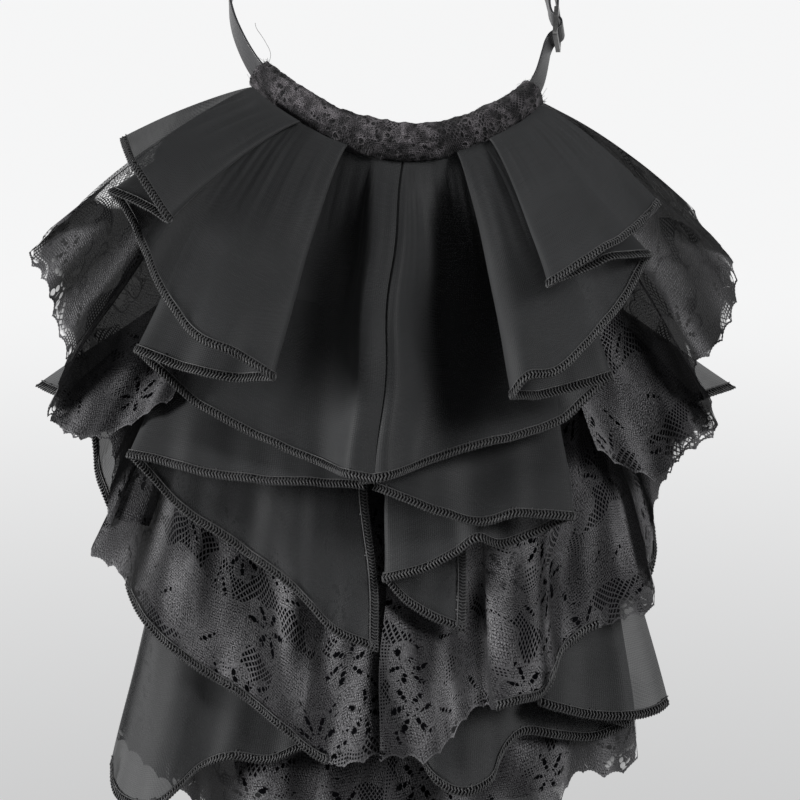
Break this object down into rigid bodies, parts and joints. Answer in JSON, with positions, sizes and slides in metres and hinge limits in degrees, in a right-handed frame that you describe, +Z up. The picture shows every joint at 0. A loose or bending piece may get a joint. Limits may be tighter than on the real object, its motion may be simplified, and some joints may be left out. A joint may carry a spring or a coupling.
{
  "type": "ruffled collar",
  "caption": "Black jabot collar with tiers of pleated chiffon and floral lace ruffles, a padded lace neckband and an adjustable strap.",
  "frame": {"origin": "middle of the neck opening, where the neck holds the collar", "axes": "+Z up as worn, -Y out of the chest towards the viewer, +X to the viewer's right"},
  "size_m": [0.2864, 0.214, 0.3565],
  "materials": {
    "padded_lace": "floral lace over padding",
    "lace": "floral net lace",
    "chiffon": "sheer matt weave",
    "satin_strap": "satin",
    "dark_metal": "dark polished"
  },
  "bodies": {
    "root": {"neckband": "padded_lace", "backing_cloth": "chiffon", "upper_chiffon_left": "chiffon", "upper_chiffon_right": "chiffon", "upper_lace_left": "lace", "upper_lace_right": "lace", "middle_chiffon_left": "chiffon", "middle_chiffon_right": "chiffon", "middle_lace_left": "lace", "middle_lace_right": "lace", "side_chiffon_left": "chiffon", "side_chiffon_right": "chiffon", "lower_chiffon_left": "chiffon", "lower_chiffon_right": "chiffon", "lower_lace_left": "lace", "lower_lace_right": "lace", "strap_left": "satin_strap", "strap_right": "satin_strap", "strap_slider": "dark_metal", "back_clasp": "dark_metal"}
  },
  "joints": []
}
